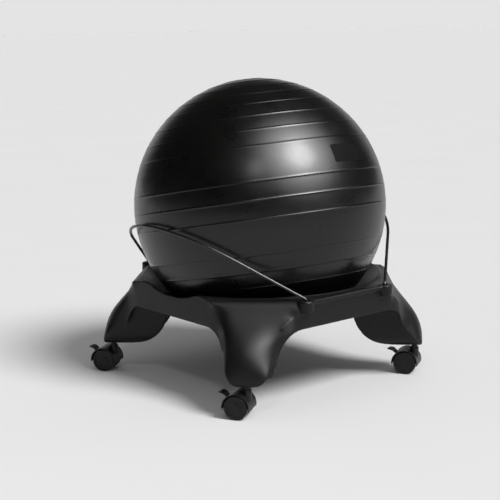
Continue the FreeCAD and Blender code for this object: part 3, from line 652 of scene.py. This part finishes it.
def crowned(points):
    """The legs' faces bulge in plan: away from its middle a leg's front falls back."""
    leg = LegFrame(points)
    deep, shallow = CROWN_DEPTH
    fall = LEG_CROWN * np.minimum(leg.beside / leg.width, 1) ** 2
    fall *= ramp(leg.reach, leg.front - deep, leg.front - shallow)
    fall *= ((TOE_CROWN + (1 - TOE_CROWN) * ramp(leg.z, *CROWN_TOE))
             * (1 - ramp(leg.z, *CROWN_HEAD)))
    fall *= 1 - ramp(leg.beside - leg.width, *CROWN_SIDE)
    moved = points.copy()
    moved[:, :2] -= np.sign(points[:, :2]) * (fall / math.sqrt(2))[:, None]
    return moved


def leg_clearance(leg):
    """How far a point of a leg lies from the leg's open edge at the instep."""
    instep = INSTEP_RADIUS - np.hypot(leg.reach - INSTEP_REACH, leg.z - INSTEP_HEIGHT)
    low = np.where(leg.reach < INSTEP_REACH, instep, CLEAR)
    return np.where(leg.z < INSTEP_HEIGHT, low, leg.reach - LEG_BACK)


def arch_clearance(leg):
    """How far a point of a panel lies from the arch under it."""
    radius = np.where(leg.to_front, FRONT_ARCH, SIDE_ARCH)
    centre = ARCH_TOP - radius
    corner = np.hypot(leg.along - ARCH_FLAT, leg.z - centre) - radius
    foot = leg.along - ARCH_FLAT - radius * math.cos(ARCH_LEAN)
    drop = centre + radius * math.sin(ARCH_LEAN) - leg.z
    side = foot * math.cos(ARCH_LEAN) - drop * math.sin(ARCH_LEAN)
    beside = np.where(leg.z > centre, corner, side)
    return np.where(leg.along < ARCH_FLAT, leg.z - ARCH_TOP, beside)


def leg_weight(points):
    """1 where a leg and its crease with the panels are softly rounded, 0 at edges and ribs."""
    leg = LegFrame(points)
    beyond = leg.beside - leg.width
    front_skin = (leg.reach > leg.front - SKIN) & (beyond < FRONT_OVERLAP)
    side_skin = (beyond > -SIDE_DEPTH) & (beyond < SKIN)
    panel_skin = (leg.out > -PANEL_DEPTH) & (beyond > -SKIN)
    edge = np.where(panel_skin & (beyond > PANEL_START),
                    ramp(arch_clearance(leg), *ARCH_EDGE) * (1 - ramp(beyond, *PANEL_RUN)),
                    ramp(leg_clearance(leg), *INSTEP_EDGE))
    bosses = leg.to_front * ramp(leg.z, *BOSS_HEIGHTS) * (1 - ramp(leg.along, *BOSS_ALONG))
    weight = (front_skin | side_skin | panel_skin) * edge * (1 - bosses)
    return (weight * ramp(leg.reach, *INNER_REACH) * ramp(leg.z, *TOE_HEIGHTS)
            * (1 - ramp(leg.z, *RIM_HEIGHTS)))


def make_base():
    """The CAD shell, remeshed and softened as a moulding of its size is."""
    base = merged_copy("base_moulding", "base_shell")
    source = BVHTree.FromPolygons([v.co.copy() for v in base.data.vertices],
                                  [tuple(p.vertices) for p in base.data.polygons])
    remesh = base.modifiers.new("voxels", "REMESH")
    remesh.mode = "VOXEL"
    remesh.voxel_size = VOXEL
    bake(base)
    mesh = base.data
    points = np.empty(len(mesh.vertices) * 3)
    mesh.vertices.foreach_get("co", points)
    edges = np.empty(len(mesh.edges) * 2, dtype=np.int64)
    mesh.edges.foreach_get("vertices", edges)
    edges = edges.reshape(-1, 2)
    # Back onto the shell's own faces, then softer
    near = source.find_nearest
    points = np.array([near(p)[0] or p for p in map(Vector, points.reshape(-1, 3))])
    from_axis = np.hypot(points[:, 0], points[:, 1])
    bead = (np.abs(from_axis - BEAD_RADIUS) < BEAD_HALF_WIDTH) & (points[:, 2] > BEAD_FOOT)
    points = diffuse(points, edges, np.where(bead, BEAD_SOFTNESS, 1.0), EDGE_ROUNDS)
    weight = leg_weight(points)
    points = crowned(points)
    soft = weight > 0
    edges = edges[soft[edges[:, 0]] | soft[edges[:, 1]]]
    points = diffuse(points, edges, weight, LEG_ROUNDS)
    mesh.vertices.foreach_set("co", points.ravel())
    mesh.update()
    thin = base.modifiers.new("fewer", "DECIMATE")
    thin.ratio = min(1.0, BASE_TRIANGLES / (2 * len(mesh.polygons)))
    bake(base)
    smooth(base)
    dress(base, polypropylene)
    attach(base, "base")
    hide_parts("base_shell")


make_ball()
make_label()
make_base()

# ---------------------------------------------------------------- the other pieces' finishes
finishes = {
    "valve_plug": cap_plastic,
    "hoop": wire_coating,
    "socket": cap_plastic,
    # The stems' dark colour is painted shade
    "stem": steel_darkened_for_shade,
    "grip_ring": zinc,
    "housing": hood_nylon,
    "axle": zinc,
    "wheel": wheel_nylon,
    "brake_lever": hood_nylon,
    "lever_pin": zinc,
}
for name, obj in nodes.items():
    for start, material in finishes.items():
        if name.startswith(start):
            dress(obj, material)


# ---------------------------------------------------------------- studio
FLOOR_RADIUS = 30
KEY_AZIMUTH = 12
KEY_ELEVATION = 48
KEY_ENERGY = 2.85
KEY_WIDTH = math.radians(23)
GLOW = 8.5                           # how brightly glossy surfaces mirror the key light
GLOW_SPREAD = (0.78, 0.99)           # cosines of the angles from the key light
BACKDROP = 0.775                     # how bright the backdrop is
BACKDROP_HEIGHTS = (0.14, 0.4)       # sines of the angles at which it fades upwards
BACKDROP_WAY = Vector((0.631, 0.776, 0))
BACKDROP_SPREAD = (0.65, 1.0)        # cosines of the angles from that way
OVERHEAD = 0.03
FILL = 0.26                          # the light that matt surfaces get from all round
LAMP_AIM = Vector((0, 0, 0.25))


def make_floor():
    """A matt, pale painted floor."""
    mesh = bpy.data.meshes.new("floor")
    work = bmesh.new()
    bmesh.ops.create_circle(work, cap_ends=True, segments=96, radius=FLOOR_RADIUS)
    work.to_mesh(mesh)
    work.free()
    floor = new_object("floor", mesh)
    material, tree = shader_tree("painted_floor")
    place = add(tree, "ShaderNodeTexCoord")
    # Roller marks, some 0.3 m across
    rolled = add(tree, "ShaderNodeTexNoise",
                 {"Vector": place.outputs["Object"], "Scale": 3.0, "Detail": 3.0})
    colour = add(tree, "ShaderNodeMix",
                 {"Factor": rolled.outputs["Fac"],
                  COLOUR_A: linear("#e8e8e8"), COLOUR_B: linear("#ececec")}, data_type="RGBA")
    paint = add(tree, "ShaderNodeBsdfPrincipled",
                {"Base Color": colour.outputs[MIXED], "Roughness": 0.8,
                 "Specular IOR Level": 0.0})
    add(tree, "ShaderNodeOutputMaterial", {"Surface": paint.outputs[0]})
    dress(floor, material)


def grey(level):
    return (level, level, level, 1)


def direction(azimuth, elevation):
    """The way to a place in the studio, in degrees: azimuth 0 is the front, 90 the right."""
    a = math.radians(azimuth)
    e = math.radians(elevation)
    return Vector((math.sin(a) * math.cos(e), -math.cos(a) * math.cos(e), math.sin(e)))


def hang(name, data, way):
    """A light that shines from that way."""
    lamp = new_object(name, data)
    lamp.rotation_mode = "QUATERNION"
    lamp.rotation_quaternion = way.to_track_quat("Z", "Y")
    return lamp


def make_world():
    """A pale backdrop round the horizon, dark overhead, and an even fill for matt surfaces."""
    world = bpy.data.worlds.new("studio")
    bpy.context.scene.world = world
    world.use_nodes = True
    tree = world.node_tree
    tree.nodes.clear()
    place = add(tree, "ShaderNodeTexCoord")
    rays = add(tree, "ShaderNodeLightPath")
    # The backdrop shows all round, and glossy surfaces mirror only its part behind the chair
    way = add(tree, "ShaderNodeSeparateXYZ", {0: place.outputs["Generated"]})
    low, high = BACKDROP_HEIGHTS
    fade = add(tree, "ShaderNodeMapRange",
               {"Value": way.outputs[2], "From Min": low, "From Max": high,
                "To Min": 1.0, "To Max": 0.0}, interpolation_type="SMOOTHSTEP")
    behind = add(tree, "ShaderNodeVectorMath",
                 {0: place.outputs["Generated"], 1: BACKDROP_WAY}, operation="DOT_PRODUCT")
    low, high = BACKDROP_SPREAD
    narrow = add(tree, "ShaderNodeMapRange",
                 {"Value": behind.outputs["Value"], "From Min": low, "From Max": high,
                  "To Min": 0.0, "To Max": 1.0}, interpolation_type="SMOOTHSTEP")
    width = add(tree, "ShaderNodeMath",
                {0: narrow.outputs[0], 1: rays.outputs["Is Camera Ray"]}, operation="MAXIMUM")
    share = add(tree, "ShaderNodeMath",
                {0: fade.outputs[0], 1: width.outputs[0]}, operation="MULTIPLY")
    backdrop = add(tree, "ShaderNodeMix",
                   {"Factor": share.outputs[0], COLOUR_A: grey(OVERHEAD),
                    COLOUR_B: grey(BACKDROP)}, data_type="RGBA")
    # The key light's softbox, as it is mirrored
    near_key = add(tree, "ShaderNodeVectorMath",
                   {0: place.outputs["Generated"], 1: direction(KEY_AZIMUTH, KEY_ELEVATION)},
                   operation="DOT_PRODUCT")
    low, high = GLOW_SPREAD
    glow = add(tree, "ShaderNodeMapRange",
               {"Value": near_key.outputs["Value"], "From Min": low, "From Max": high,
                "To Min": 0.0, "To Max": GLOW}, interpolation_type="SMOOTHSTEP")
    lit = add(tree, "ShaderNodeVectorMath",
              {0: backdrop.outputs[MIXED], 1: glow.outputs[0]}, operation="ADD")
    # Matt surfaces get the even fill instead
    seen = add(tree, "ShaderNodeMath",
               {0: rays.outputs["Is Camera Ray"], 1: rays.outputs["Is Glossy Ray"]},
               operation="ADD")
    shown = add(tree, "ShaderNodeMath",
                {0: seen.outputs[0], 1: rays.outputs["Is Transmission Ray"]},
                operation="ADD", use_clamp=True)
    colour = add(tree, "ShaderNodeMix",
                 {"Factor": shown.outputs[0], COLOUR_A: grey(FILL), COLOUR_B: lit.outputs[0]},
                 data_type="RGBA")
    sky = add(tree, "ShaderNodeBackground", {"Color": colour.outputs[MIXED], "Strength": 1.0})
    add(tree, "ShaderNodeOutputWorld", {"Surface": sky.outputs[0]})


def make_key():
    """The key light: far and wide, as soft as a large softbox."""
    data = bpy.data.lights.new("key", "SUN")
    data.energy = KEY_ENERGY
    data.angle = KEY_WIDTH
    hang("key", data, direction(KEY_AZIMUTH, KEY_ELEVATION))


def make_softbox(name, azimuth, elevation, distance, width, height, watts):
    """A softbox that faces the ball."""
    way = direction(azimuth, elevation)
    data = bpy.data.lights.new(name, "AREA")
    data.shape = "RECTANGLE"
    data.size = width
    data.size_y = height
    data.energy = watts
    hang(name, data, way).location = LAMP_AIM + way * distance


make_floor()
make_world()
make_key()
make_softbox("small", azimuth=-43, elevation=41, distance=2.9, width=0.25, height=0.3, watts=5.5)
bpy.context.scene.view_settings.view_transform = "Standard"
